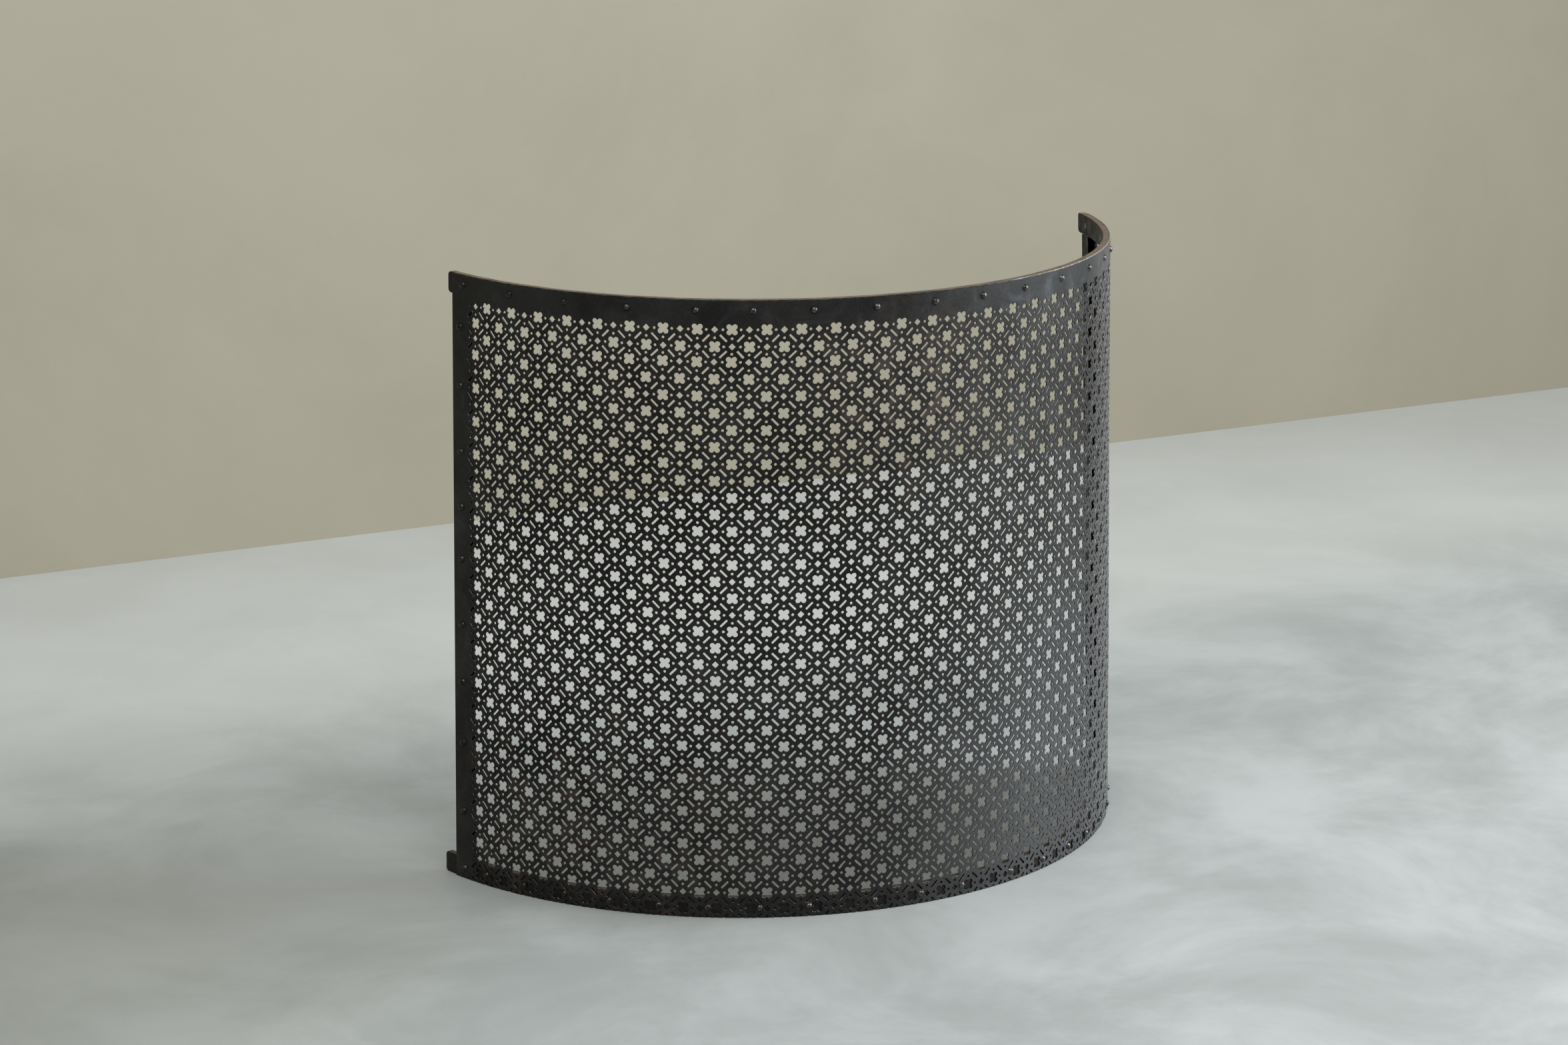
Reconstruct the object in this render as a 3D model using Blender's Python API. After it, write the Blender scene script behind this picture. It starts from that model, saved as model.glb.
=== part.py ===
"""Fireplace screen: a punched steel sheet bent to a C in plan and riveted to a frame of flat bar.

The sheet stands outside the frame and bulges towards -Y, and its open side faces +Y. Two rails of flat bar
follow the bend inside the sheet's top and bottom edges, and an upright stile stands between them at each end.
Dome-headed rivets pass through sheet and bar, and their tails are peened flush into countersinks.

Places on the screen are given along the sheet's bend from its middle (+ to the right, seen from outside), up
from the floor, and out from the sheet's outer face. The upper edge is bent a little tighter than the lower one.
"""

import math

import bmesh
import bpy
from mathutils import Matrix, Vector

MM = 0.001

# The sheet
SHEET_LENGTH = 1230 * MM
SHEET_HEIGHT = 744 * MM
SHEET_THICKNESS = 1.2 * MM
RADIUS_TOP = 446 * MM
RADIUS_BOTTOM = 469 * MM
# From the middle of the outer face back to the middle of the space the whole screen stands in
ORIGIN_SETBACK = 185 * MM

# The flat bar of rails and stiles
BAR_HEIGHT = 25.4 * MM
BAR_THICKNESS = 8 * MM
BAR_CORNER = 5 * MM
# How far each rail's end runs past the sheet
TOP_OVERHANG_LEFT = 11 * MM
TOP_OVERHANG_RIGHT = 12 * MM
BOTTOM_OVERHANG = 23 * MM
STILE_INSET = 2 * MM

# Rivets
HEAD_RADIUS = 4.5 * MM
HEAD_HEIGHT = 3.3 * MM
SHANK_RADIUS = 2.4 * MM
TAIL_RADIUS = 3.6 * MM
TAIL_DEPTH = 1.5 * MM

# Clearance between pieces that touch
GAP = 0.3 * MM

# Where the rivets go, in millimetres along the sheet or up from the floor, as set out by eye
TOP_RIVETS = (-594, -513, -434, -354, -272, -206, -136, -61, 14, 82, 151, 226, 303, 371, 430, 512, 597)
BOTTOM_RIVETS = (
    -599, -560, -500, -442, -382, -321, -262, -200, -141, -60, 1,
    59, 139, 201, 261, 317, 376, 440, 504, 561, 599,
)
LEFT_RIVETS = (681, 610, 530, 463, 399, 318, 247, 171, 85)
RIGHT_RIVETS = (672, 590, 508, 428, 345, 262, 180, 92)

# Fineness of the faceted surfaces
BEND_FACETS = 48
SHEET_ROWS = 6
CORNER_FACETS = 3
ROUND_FACETS = 8
HALF_LENGTH = SHEET_LENGTH / 2
BAR_OUTER = -SHEET_THICKNESS - GAP
BAR_INNER = BAR_OUTER - BAR_THICKNESS


def bend(radius, along):
    """Plan position and heading of a point at a distance along an arc of this radius."""
    angle = along / radius
    return radius * math.sin(angle), radius * (1 - math.cos(angle)), angle


def place(along, up, out):
    """World position of a point of the screen."""
    share = up / SHEET_HEIGHT
    low_x, low_y, low_heading = bend(RADIUS_BOTTOM, along)
    top_x, top_y, top_heading = bend(RADIUS_TOP, along)
    x = low_x + (top_x - low_x) * share
    y = low_y + (top_y - low_y) * share - ORIGIN_SETBACK
    heading = low_heading + (top_heading - low_heading) * share
    return Vector((x + out * math.sin(heading), y - out * math.cos(heading), up))


def outward(along, up):
    """Unit normal of the sheet's outer face."""
    sideways = place(along + MM, up, 0) - place(along - MM, up, 0)
    upwards = place(along, up + MM, 0) - place(along, up - MM, 0)
    return sideways.cross(upwards).normalized()


def steel(name, colour, roughness, metallic):
    """Principled material for one kind of steel surface."""
    material = bpy.data.materials.new(name)
    material.use_nodes = True
    shader = material.node_tree.nodes["Principled BSDF"]
    shader.inputs["Base Color"].default_value = (*colour, 1)
    shader.inputs["Roughness"].default_value = roughness
    shader.inputs["Metallic"].default_value = metallic
    return material


def add_object(name, bm, material):
    """Turn a bmesh into a named object of the scene."""
    mesh = bpy.data.meshes.new(name)
    bm.to_mesh(mesh)
    bm.free()
    mesh.materials.append(material)
    obj = bpy.data.objects.new(name, mesh)
    bpy.context.scene.collection.objects.link(obj)
    return obj


def sheet_stations():
    """Even stations along the bend, shared by the sheet and the rails."""
    return [SHEET_LENGTH * step / BEND_FACETS - HALF_LENGTH for step in range(BEND_FACETS + 1)]


def plate(name, columns, rows, outer, inner, material):
    """Closed plate that follows the bend. Each column is (along, lowest, highest)."""
    bm = bmesh.new()
    faces = []
    for out in (outer, inner):
        grid = []
        for along, low, high in columns:
            heights = [low + (high - low) * row / rows for row in range(rows + 1)]
            grid.append([bm.verts.new(place(along, up, out)) for up in heights])
        faces.append(grid)
    front, back = faces
    last = len(columns) - 1
    for c in range(last):
        for r in range(rows):
            bm.faces.new((front[c][r], front[c + 1][r], front[c + 1][r + 1], front[c][r + 1]))
            bm.faces.new((back[c][r], back[c][r + 1], back[c + 1][r + 1], back[c + 1][r]))
        bm.faces.new((front[c][0], back[c][0], back[c + 1][0], front[c + 1][0]))
        bm.faces.new((front[c][rows], front[c + 1][rows], back[c + 1][rows], back[c][rows]))
    for r in range(rows):
        bm.faces.new((front[0][r], front[0][r + 1], back[0][r + 1], back[0][r]))
        bm.faces.new((front[last][r], back[last][r], back[last][r + 1], front[last][r + 1]))
    bmesh.ops.triangulate(bm, faces=bm.faces[:])
    return add_object(name, bm, material)


def rounded_end(tip, low, high):
    """Columns from where a rail's end starts to round off out to its tip, with the sign of the tip."""
    side = math.copysign(1, tip)
    columns = []
    for step in range(CORNER_FACETS + 1):
        turn = math.pi / 2 * step / CORNER_FACETS
        along = abs(tip) - BAR_CORNER * (1 - math.sin(turn))
        trim = BAR_CORNER * (1 - math.cos(turn))
        columns.append((side * along, low + trim, high - trim))
    return columns


def rail(name, low, left_overhang, right_overhang, material):
    """Flat bar bent to the sheet's curve, with round-cornered ends past the sheet."""
    high = low + BAR_HEIGHT
    left = rounded_end(-HALF_LENGTH - left_overhang, low, high)
    right = rounded_end(HALF_LENGTH + right_overhang, low, high)
    middle = [(along, low, high) for along in sheet_stations()]
    return plate(name, left[::-1] + middle + right, 1, BAR_OUTER, BAR_INNER, material)


def stile(name, side, material):
    """Upright flat bar between the rails at one end of the sheet."""
    low = BAR_HEIGHT + GAP
    high = SHEET_HEIGHT - BAR_HEIGHT - GAP
    edge = HALF_LENGTH - STILE_INSET
    alongs = sorted((side * edge, side * (edge - BAR_HEIGHT)))
    columns = [(along, low, high) for along in alongs]
    return plate(name, columns, SHEET_ROWS, BAR_OUTER, BAR_INNER, material)


def turned(profile):
    """Closed solid turned about Z from (radius, z) points that run from its top down to its end."""
    bm = bmesh.new()
    rings = []
    for radius, z in profile:
        angles = [2 * math.pi * k / ROUND_FACETS for k in range(ROUND_FACETS)]
        rings.append([bm.verts.new((radius * math.cos(a), radius * math.sin(a), z)) for a in angles])
    for upper, lower in zip(rings, rings[1:]):
        for k in range(ROUND_FACETS):
            n = (k + 1) % ROUND_FACETS
            bm.faces.new((upper[k], lower[k], lower[n], upper[n]))
    bm.faces.new(rings[0])
    bm.faces.new(rings[-1][::-1])
    return bm


def rivet_profile():
    """Half outline of a rivet, from near its crown to its tail. Z = 0 is the sheet's outer face."""
    dome = (HEAD_RADIUS**2 + HEAD_HEIGHT**2) / (2 * HEAD_HEIGHT)
    widest = math.asin(HEAD_RADIUS / dome)
    points = []
    for share in (0.25, 0.65, 1.0):
        angle = widest * share
        points.append((dome * math.sin(angle), GAP + HEAD_HEIGHT - dome * (1 - math.cos(angle))))
    points.append((SHANK_RADIUS, GAP))
    points.append((SHANK_RADIUS, BAR_INNER + TAIL_DEPTH))
    points.append((TAIL_RADIUS, BAR_INNER))
    return points


def hole_profile():
    """Half outline of the cutter for one rivet hole, clear of the rivet all round."""
    past = 2 * MM
    bore = SHANK_RADIUS + GAP
    flare = (TAIL_RADIUS - SHANK_RADIUS) / TAIL_DEPTH
    return [
        (bore, past),
        (bore, BAR_INNER + TAIL_DEPTH),
        (TAIL_RADIUS + GAP, BAR_INNER),
        (TAIL_RADIUS + GAP + flare * past, BAR_INNER - past),
    ]


def rivet_places():
    """Name, distance along and height of every rivet."""
    top = SHEET_HEIGHT - BAR_HEIGHT / 2
    end = HALF_LENGTH - STILE_INSET - BAR_HEIGHT / 2
    places = [(f"rivet_top_{n:02d}", a * MM, top) for n, a in enumerate(TOP_RIVETS, 1)]
    places += [(f"rivet_bottom_{n:02d}", a * MM, BAR_HEIGHT / 2) for n, a in enumerate(BOTTOM_RIVETS, 1)]
    places += [(f"rivet_left_{n:02d}", -end, up * MM) for n, up in enumerate(LEFT_RIVETS, 1)]
    places += [(f"rivet_right_{n:02d}", end, up * MM) for n, up in enumerate(RIGHT_RIVETS, 1)]
    return places


def rivet_stance(along, up):
    """Matrix that stands a turned rivet on the sheet, with its +Z outwards."""
    turn = outward(along, up).to_track_quat("Z", "Y").to_matrix().to_4x4()
    return Matrix.Translation(place(along, up, 0)) @ turn


def make_rivets(material):
    """Every rivet as its own object on one shared mesh."""
    mesh = bpy.data.meshes.new("rivet")
    bm = turned(rivet_profile())
    bm.to_mesh(mesh)
    bm.free()
    mesh.materials.append(material)
    mesh.shade_smooth()
    mesh.set_sharp_from_angle(angle=math.radians(40))
    for name, along, up in rivet_places():
        obj = bpy.data.objects.new(name, mesh)
        obj.matrix_world = rivet_stance(along, up)
        bpy.context.scene.collection.objects.link(obj)


def make_hole_cutters(material):
    """One guide object that holds the cutter of every rivet hole."""
    bm = bmesh.new()
    for _, along, up in rivet_places():
        single = turned(hole_profile())
        single.transform(rivet_stance(along, up))
        mesh = bpy.data.meshes.new("single_cutter")
        single.to_mesh(mesh)
        single.free()
        bm.from_mesh(mesh)
        bpy.data.meshes.remove(mesh)
    cutters = add_object("rivet_hole_cutters", bm, material)
    cutters.hide_render = True
    cutters.display_type = "WIRE"
    return cutters


def drill(obj, cutters):
    """Cut the rivet holes through one piece."""
    cut = obj.modifiers.new("rivet_holes", "BOOLEAN")
    cut.operation = "DIFFERENCE"
    cut.solver = "EXACT"
    cut.object = cutters


def main():
    for obj in list(bpy.data.objects):
        bpy.data.objects.remove(obj, do_unlink=True)

    blackened = steel("blackened_steel", (0.025, 0.026, 0.028), 0.42, 0.85)
    rusted = steel("rusted_bar", (0.075, 0.048, 0.034), 0.62, 0.6)
    riveted = steel("rivet_steel", (0.035, 0.034, 0.035), 0.35, 0.9)

    cutters = make_hole_cutters(riveted)
    flat_columns = [(along, 0, SHEET_HEIGHT) for along in sheet_stations()]
    pieces = [
        plate("perforated_sheet", flat_columns, SHEET_ROWS, 0, -SHEET_THICKNESS, blackened),
        rail("top_rail", SHEET_HEIGHT - BAR_HEIGHT, TOP_OVERHANG_LEFT, TOP_OVERHANG_RIGHT, rusted),
        rail("bottom_rail", 0, BOTTOM_OVERHANG, BOTTOM_OVERHANG, rusted),
        stile("left_stile", -1, rusted),
        stile("right_stile", 1, rusted),
    ]
    for piece in pieces:
        drill(piece, cutters)
    make_rivets(riveted)


main()
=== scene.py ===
"""Fireplace screen: the punched sheet, its flat-bar frame, rivets, finishes, floor, light and camera."""

import math

import bpy
import numpy as np
from mathutils import Matrix, Vector, geometry, noise


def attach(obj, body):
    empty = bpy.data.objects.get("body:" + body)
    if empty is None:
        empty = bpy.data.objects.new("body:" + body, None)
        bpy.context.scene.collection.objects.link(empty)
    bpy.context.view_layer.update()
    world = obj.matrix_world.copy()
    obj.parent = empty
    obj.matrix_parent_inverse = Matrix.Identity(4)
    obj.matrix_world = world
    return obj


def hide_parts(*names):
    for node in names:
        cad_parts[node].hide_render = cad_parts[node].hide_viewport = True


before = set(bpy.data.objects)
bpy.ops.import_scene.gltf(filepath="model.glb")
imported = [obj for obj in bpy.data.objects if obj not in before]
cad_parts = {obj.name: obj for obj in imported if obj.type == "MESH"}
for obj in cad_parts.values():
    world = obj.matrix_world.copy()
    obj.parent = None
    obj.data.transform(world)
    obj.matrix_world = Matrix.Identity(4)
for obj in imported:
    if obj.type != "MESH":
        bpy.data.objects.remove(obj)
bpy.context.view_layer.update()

MM = 0.001

# The bent sheet and its bars, as the CAD has them
SHEET_LENGTH = 1230 * MM
SHEET_HEIGHT = 744 * MM
SHEET_THICKNESS = 1.2 * MM
RADIUS_TOP = 446 * MM
RADIUS_BOTTOM = 469 * MM
ORIGIN_SETBACK = 185 * MM
BAR_HEIGHT = 25.4 * MM
BAR_THICKNESS = 8 * MM
BAR_CORNER = 5 * MM
TOP_OVERHANG_LEFT = 11 * MM
TOP_OVERHANG_RIGHT = 12 * MM
BOTTOM_OVERHANG = 23 * MM
STILE_INSET = 2 * MM
HEAD_RADIUS = 4.5 * MM
HEAD_HEIGHT = 3.3 * MM
SHANK_RADIUS = 2.4 * MM
TAIL_RADIUS = 3.6 * MM
TAIL_DEPTH = 1.5 * MM
GAP = 0.3 * MM
TOP_RIVETS = (-594, -513, -434, -354, -272, -206, -136, -61, 14, 82, 151, 226, 303, 371, 430, 512, 597)
BOTTOM_RIVETS = (
    -599, -560, -500, -442, -382, -321, -262, -200, -141, -60, 1,
    59, 139, 201, 261, 317, 376, 440, 504, 561, 599,
)
LEFT_RIVETS = (681, 610, 530, 463, 399, 318, 247, 171, 85)
RIGHT_RIVETS = (672, 590, 508, 428, 345, 262, 180, 92)
HALF_LENGTH = SHEET_LENGTH / 2
BAR_OUTER = -SHEET_THICKNESS - GAP
BAR_INNER = BAR_OUTER - BAR_THICKNESS

# The punched pattern: quatrefoils and diamonds take turns on a square lattice
PITCH = 40 * MM
CELL = PITCH / 2
LATTICE_ALONG = 9 * MM
LATTICE_UP = 11.4 * MM
FIRST_COLUMN, LAST_COLUMN = -29, 28
FIRST_ROW, LAST_ROW = 0, 35
LOBE_RADIUS = 3.1 * MM
LOBE_SHIFT = 3.3 * MM
LOBE_OPENING = math.radians(62)
NOTCH_REACH = 4.4 * MM
DIAMOND_REACH = 4.1 * MM
DIAMOND_EASE = 0.4 * MM
DOT_RADIUS = 1.6 * MM
DOT_STRAY = 0.4 * MM
SLOT_LENGTH = 11.2 * MM
SLOT_WIDTH = 2.4 * MM
SLOT_EASE = 0.3 * MM
LOBE_FACETS = 9
DOT_FACETS = 12
EDGE_ROUNDING = 0.22 * MM
WORN_EDGE = 0.9 * MM
WELD = 0.001 * MM
PANEL_COUNT = 5

# How the two highest punched rows stray, and how far the sheet's upper edge lies below the bar
# on the left of a step
TOP_ROWS_DROP = 2 * MM
TOP_ROWS_SHIFT = 1 * MM
SHEET_TRIM = 0.9 * MM
STEP_ALONG = 76 * MM
STEP_WIDTH = 3 * MM
SWELL = 0.22 * MM
HELD = 26 * MM

# Fineness and softness of bars and rivets
END_FACETS = 8
EASE_FACETS = 3
BAR_EASE = 0.8 * MM
BAR_STEP = 6 * MM
RAIL_ROWS = 2
STILE_ROWS = 40
STILE_CORNER = 1.2 * MM
EDGE_WANDER = 0.22 * MM
INNER_WANDER = 0.25 * MM
HEAD_RINGS = 8
RIVET_SIDES = 28
CROWN_LIFT = 0.1 * MM
HEAD_SEAT = 0.05 * MM
TAIL_CROWN = 0.25 * MM
TAIL_EDGE = 0.1 * MM
TAIL_SHARES = (0.97, 0.8, 0.5, 0.2)
SHARP_ANGLE = 42
HEAD_UNEVEN = 0.035
CROWN_UNEVEN = 0.05
RIVET_SPIN = 2.4

# Places along and up the sheet where rust shows, and where grey sheen is painted on the outer face
RUSTY_MIDDLE = (-20 * MM, 615 * MM)
RUSTY_MIDDLE_LEFT = (-121 * MM, 655 * MM)
RUSTY_CORNER = (-400 * MM, 90 * MM)
SHEEN_FLANK = (330 * MM, 40 * MM)

# The room
STAGE_REACH = 9
WALL_BACK = 1.77
WALL_HEIGHT = 5
CAMERA_PLACE = (-2.2497, -4.2091, 1.6453)
CAMERA_HEADING = 27.183
CAMERA_TILT = -14.31
CAMERA_LENS = 93.55


# ---------------------------------------------------------------- places on the screen


def smoothstep(low, high, value):
    """0 below low, 1 above high, and a smooth rise between them."""
    share = np.clip((value - low) / (high - low), 0, 1)
    return share * share * (3 - 2 * share)


def swell(along, up):
    """How far the sheet stands off its true bend, in metres. It is nothing where the bars hold it."""
    waves = (
        np.sin(along * 21 + 0.6) * np.sin(up * 13 + 1.1)
        + 0.7 * np.sin(along * 37 + up * 9 + 2.0)
        + 0.5 * np.sin(up * 31 - along * 12 + 0.4)
    )
    free_up = smoothstep(HELD, 0.1, up) * smoothstep(HELD, 0.1, SHEET_HEIGHT - up)
    free_along = smoothstep(0.03, 0.1, HALF_LENGTH - np.abs(along))
    return SWELL * waves * free_up * free_along


def bend(radius, along):
    """Plan position and heading of points at a distance along an arc of this radius."""
    angle = along / radius
    return radius * np.sin(angle), radius * (1 - np.cos(angle)), angle


def place(along, up, out):
    """World positions of points along the bend, up from the floor and out from the sheet's face."""
    along, up, out = np.broadcast_arrays(*(np.asarray(value, float) for value in (along, up, out)))
    share = up / SHEET_HEIGHT
    low_x, low_y, low_heading = bend(RADIUS_BOTTOM, along)
    top_x, top_y, top_heading = bend(RADIUS_TOP, along)
    heading = low_heading + (top_heading - low_heading) * share
    x = low_x + (top_x - low_x) * share + out * np.sin(heading)
    y = low_y + (top_y - low_y) * share - ORIGIN_SETBACK - out * np.cos(heading)
    return np.stack((x, y, up), axis=-1)


def unit(vectors):
    return vectors / np.maximum(np.linalg.norm(vectors, axis=-1, keepdims=True), 1e-12)


def directions(along, up, relief=0):
    """Unit vectors along the bend, up the sheet and outwards.

    relief is a function of along and up, or nothing.
    """
    def point(a, u):
        return place(a, u, relief(a, u) if relief else 0)

    sideways = unit(point(along + MM, up) - point(along - MM, up))
    upwards = unit(point(along, up + MM) - point(along, up - MM))
    return sideways, upwards, unit(np.cross(sideways, upwards))


# ---------------------------------------------------------------- mesh making


def add_piece(name, mesh, slot, *replaced):
    """Put a finished mesh in the scene as a piece that stands for CAD nodes."""
    piece = bpy.data.objects.new(name, mesh)
    bpy.context.scene.collection.objects.link(piece)
    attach(piece, "root")
    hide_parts(*replaced)


def make_mesh(name, points, face_blocks, materials, face_materials=None):
    """Mesh from an array of points and blocks of faces, each block an array with one face in a row."""
    mesh = bpy.data.meshes.new(name)
    corners = np.concatenate([block.ravel() for block in face_blocks])
    sizes = np.concatenate([np.full(len(block), block.shape[1]) for block in face_blocks])
    mesh.vertices.add(len(points))
    mesh.vertices.foreach_set("co", points.astype(np.float32).ravel())
    mesh.loops.add(len(corners))
    mesh.loops.foreach_set("vertex_index", corners.astype(np.int32))
    mesh.polygons.add(len(sizes))
    mesh.polygons.foreach_set("loop_start", (np.cumsum(sizes) - sizes).astype(np.int32))
    if face_materials is not None:
        mesh.polygons.foreach_set("material_index", face_materials.astype(np.int32))
    for material in materials:
        mesh.materials.append(material)
    mesh.update()
    mesh.shade_smooth()
    return mesh


# ---------------------------------------------------------------- punched sheet


def four_turns(quarter_outline):
    """Points repeated in four quarter turns, anticlockwise about the origin."""
    points = []
    for quarter in range(4):
        c, s = math.cos(math.pi / 2 * quarter), math.sin(math.pi / 2 * quarter)
        points += [(x * c - y * s, x * s + y * c) for x, y in quarter_outline]
    return points


def quatrefoil():
    """Outline of four round lobes with a notch between each two."""
    sweep = math.pi / 2 + 2 * LOBE_OPENING
    lobe = [(NOTCH_REACH, 0)]
    for step in range(LOBE_FACETS + 1):
        angle = sweep * step / LOBE_FACETS - LOBE_OPENING
        x, y = LOBE_RADIUS * math.cos(angle), LOBE_RADIUS * math.sin(angle)
        lobe.append((LOBE_SHIFT + x, LOBE_SHIFT + y))
    return four_turns(lobe)


def diamond():
    """Outline of a square stood on its corner, with its corners eased."""
    side = DIAMOND_REACH - DIAMOND_EASE
    return four_turns([(side, -DIAMOND_EASE), (DIAMOND_REACH - DIAMOND_EASE / 3, 0), (side, DIAMOND_EASE)])


def dot():
    """Outline of a round hole."""
    angles = [2 * math.pi * step / DOT_FACETS for step in range(DOT_FACETS)]
    return [(DOT_RADIUS * math.cos(a), DOT_RADIUS * math.sin(a)) for a in angles]


def slot_outline(lean):
    """Outline of a short slot, leaning up to the right (+1) or to the left (-1), with its corners eased."""
    half, side, ease = SLOT_LENGTH / 2, SLOT_WIDTH / 2, SLOT_EASE
    quarter = [(half, side - ease), (half - ease, side)]
    upper = quarter + [(-x, y) for x, y in quarter[::-1]]
    points = upper + [(-x, -y) for x, y in upper]
    turned = [((x - y) / math.sqrt(2), (x + y) / math.sqrt(2)) for x, y in points]
    return turned if lean > 0 else [(-x, y) for x, y in turned[::-1]]


def tile_holes(quatrefoil_first, left, right, lower, upper, height):
    """Outlines of the holes that touch one lattice cell of this height.

    The cell's lower left corner is the origin, and quatrefoil_first says that a quatrefoil belongs there.
    The others say whether the lattice has features on the cell's left and right columns and on its lower
    and upper rows.
    """
    holes = []

    def add(outline, x, y):
        holes.append([(px + x, py + y) for px, py in outline])

    on_columns, on_rows = (left, right), (lower, upper)
    for x, y in ((0, 0), (1, 0), (0, 1), (1, 1)):
        if on_columns[x] and on_rows[y]:
            add(quatrefoil() if (x == y) == quatrefoil_first else diamond(), x * CELL, y * height)
    lean = 1 if quatrefoil_first else -1
    stray = lean * DOT_STRAY
    if lower:
        add(dot(), CELL / 2 + stray, 0)
    if upper:
        add(dot(), CELL / 2 - stray, height)
        add(slot_outline(-lean), CELL / 2, height / 2)
        if left:
            add(dot(), 0, height / 2 + stray)
        if right:
            add(dot(), CELL, height / 2 - stray)
    return holes


def inside(points, outline):
    """Which of the points lie inside a closed outline."""
    x, y = points[:, 0], points[:, 1]
    found = np.zeros(len(points), bool)
    for (ax, ay), (bx, by) in zip(outline, outline[1:] + outline[:1]):
        crosses = (ay > y) != (by > y)
        if ay != by:
            found ^= crosses & (x < (bx - ax) * (y - ay) / (by - ay) + ax)
    return found


def tile_metal(holes, low, high):
    """Corners and triangles of the metal between the holes of one cell, from low up to high."""
    outlines = [[(0, low), (CELL, low), (CELL, high), (0, high)], *holes]
    points, edges = [], []
    for outline in outlines:
        first, count = len(points), len(outline)
        points += [Vector((x / MM, y / MM)) for x, y in outline]
        edges += [(first + k, first + (k + 1) % count) for k in range(count)]
    corners, _, triangles, *_ = geometry.delaunay_2d_cdt(points, edges, [], 0, 1e-5)
    corners = np.array([tuple(corner) for corner in corners]) * MM
    triangles = np.array(triangles)
    middles = corners[triangles].mean(axis=1)
    kept = (middles > (0, low)).all(axis=1) & (middles < (CELL, high)).all(axis=1)
    for hole in holes:
        kept &= ~inside(middles, hole)
    triangles = triangles[kept]
    a, b, c = (corners[triangles[:, k]] for k in range(3))
    turned = np.cross(b - a, c - a) < 0
    triangles[turned] = triangles[turned][:, ::-1]
    return corners, triangles


def grid_metal(alongs, ups):
    """Corners and triangles of plain metal between lines along and up the sheet."""
    corners = np.array([(a, u) for a in alongs for u in ups])
    count = len(ups)
    quads = [
        (c * count + r, (c + 1) * count + r, (c + 1) * count + r + 1, c * count + r + 1)
        for c in range(len(alongs) - 1)
        for r in range(count - 1)
    ]
    return corners, np.array([t for a, b, c, d in quads for t in ((a, b, c), (a, c, d))])


def row_up(row):
    """Height of a punched row above the sheet's lower edge. The two highest rows sit a little low."""
    return LATTICE_UP + row * CELL - (TOP_ROWS_DROP if row > LAST_ROW - 2 else 0)


def flat_sheet():
    """The whole punched sheet laid flat: its corners (along, up) and its triangles."""
    blocks, made = [], {}
    for column in range(FIRST_COLUMN - 1, LAST_COLUMN + 1):
        left, right = column >= FIRST_COLUMN, column < LAST_COLUMN
        for row in range(FIRST_ROW - 1, LAST_ROW + 1):
            lower, upper = row >= FIRST_ROW, row < LAST_ROW
            height = round(row_up(row + 1) - row_up(row), 6)
            kind = ((column + row) % 2 == 1, left, right, lower, upper, height)
            if kind not in made:
                made[kind] = tile_metal(tile_holes(*kind), 0 if lower else -row_up(row), height)
            corners, triangles = made[kind]
            blocks.append((corners + (LATTICE_ALONG + column * CELL, row_up(row)), triangles))
    columns = [LATTICE_ALONG + column * CELL for column in range(FIRST_COLUMN - 1, LAST_COLUMN + 2)]
    rows = [0.0] + [row_up(row) for row in range(FIRST_ROW, LAST_ROW + 2)]
    left_margin = [-HALF_LENGTH, (columns[0] - HALF_LENGTH) / 2, columns[0]]
    right_margin = [columns[-1], (columns[-1] + HALF_LENGTH) / 2, HALF_LENGTH]
    blocks.append(grid_metal(left_margin, rows))
    blocks.append(grid_metal(right_margin, rows))
    blocks.append(grid_metal(left_margin + columns[1:-1] + right_margin, [rows[-1], SHEET_HEIGHT]))
    firsts = np.cumsum([0] + [len(corners) for corners, _ in blocks])
    corners = np.concatenate([corners for corners, _ in blocks])
    triangles = np.concatenate([triangles + first for (_, triangles), first in zip(blocks, firsts)])
    steps = np.round(corners / WELD).astype(np.int64)
    _, kept, merged = np.unique(steps, axis=0, return_index=True, return_inverse=True)
    return corners[kept], merged.ravel()[triangles]


def rims(triangles, count):
    """Directed edges that only one triangle has, with the metal on their left."""
    edges = np.concatenate([triangles[:, (0, 1)], triangles[:, (1, 2)], triangles[:, (2, 0)]])
    forward = edges[:, 0] * count + edges[:, 1]
    backward = edges[:, 1] * count + edges[:, 0]
    return edges[~np.isin(forward, backward)]


def hand_work(flat):
    """The flat sheet as it was really made: its two highest rows stray, and its upper edge has a step.

    Left of the step the bar stands proud of the sheet.
    """
    along, up = flat[:, 0], flat[:, 1]
    strayed = smoothstep(row_up(LAST_ROW - 2), row_up(LAST_ROW - 1), up)
    strayed = strayed * smoothstep(0, BAR_HEIGHT, SHEET_HEIGHT - up)
    strayed = strayed * smoothstep(0, BAR_HEIGHT, HALF_LENGTH - np.abs(along))
    trimmed = smoothstep(row_up(LAST_ROW + 1), SHEET_HEIGHT, up)
    trimmed = trimmed * (1 - smoothstep(STEP_ALONG, STEP_ALONG + STEP_WIDTH, along))
    return np.stack((along + TOP_ROWS_SHIFT * strayed, up - SHEET_TRIM * trimmed), axis=1)


def wall_normals(flat, edges):
    """Directions in the flat that the walls of the holes face, at each rim edge's two ends."""
    run = flat[edges[:, 1]] - flat[edges[:, 0]]
    own = unit(np.stack((run[:, 1], -run[:, 0]), axis=1))
    arriving = np.full(len(flat), -1)
    leaving = np.full(len(flat), -1)
    arriving[edges[:, 1]] = np.arange(len(edges))
    leaving[edges[:, 0]] = np.arange(len(edges))
    ends = []
    for neighbours in (arriving[edges[:, 0]], leaving[edges[:, 1]]):
        other = np.where(neighbours[:, None] >= 0, own[neighbours], own)
        soft = (own * other).sum(axis=1, keepdims=True) > math.cos(math.radians(45))
        ends.append(np.where(soft, unit(own + other), own))
    return own, ends


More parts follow.
